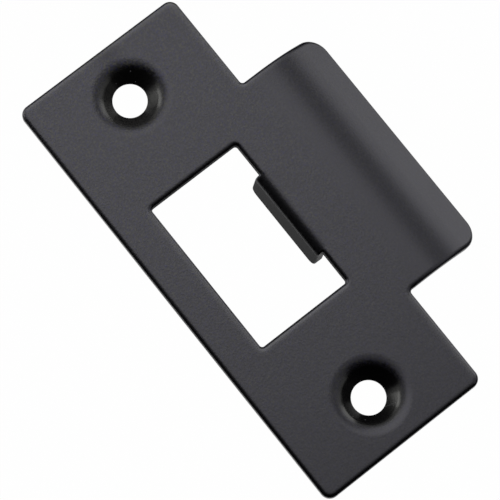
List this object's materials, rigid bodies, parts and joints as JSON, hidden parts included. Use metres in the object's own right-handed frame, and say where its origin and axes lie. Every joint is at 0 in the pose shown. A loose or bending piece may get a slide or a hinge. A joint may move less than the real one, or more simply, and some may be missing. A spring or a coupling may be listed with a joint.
{
  "type": "door strike plate",
  "caption": "T-shaped strike plate for a door latch, with a latch opening, a tongue folded down behind it, countersunk screw holes at both ends and a curved lip.",
  "frame": {"origin": "midway between the two screw holes, on the plate's back face", "axes": "+X along the plate's long side, +Y towards the lip, +Z out of the visible face"},
  "size_m": [0.07, 0.0408, 0.0068],
  "materials": {
    "black_coat": "matt black powder coat on steel"
  },
  "bodies": {
    "root": {"strike_plate": "black_coat"}
  },
  "joints": []
}
